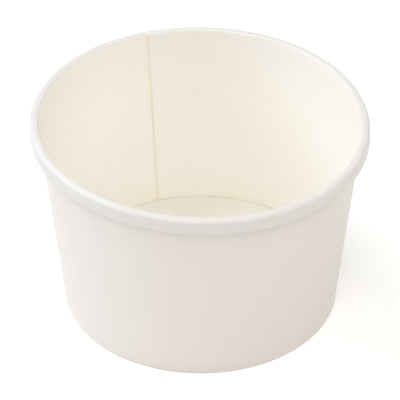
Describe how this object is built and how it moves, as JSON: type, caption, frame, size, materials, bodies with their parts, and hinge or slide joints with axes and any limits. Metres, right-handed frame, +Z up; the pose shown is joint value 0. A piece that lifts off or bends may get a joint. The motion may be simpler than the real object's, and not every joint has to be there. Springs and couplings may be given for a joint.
{
  "type": "paper sundae cup",
  "caption": "Wide open paper sundae cup: tapered paperboard side wall with a lapped seam, a rolled rim and a recessed flat floor.",
  "frame": {"origin": "centre of the base ring that the cup stands on", "axes": "+Z up along the cup's axis; +Y towards the back, the side that the lapped seam is on, 19 degrees towards -X"},
  "size_m": [0.096, 0.096, 0.06],
  "materials": {
    "wall_board": "satin",
    "floor_board": "satin"
  },
  "bodies": {
    "root": {"cup_wall": "wall_board", "base_disc": "floor_board"}
  },
  "joints": []
}
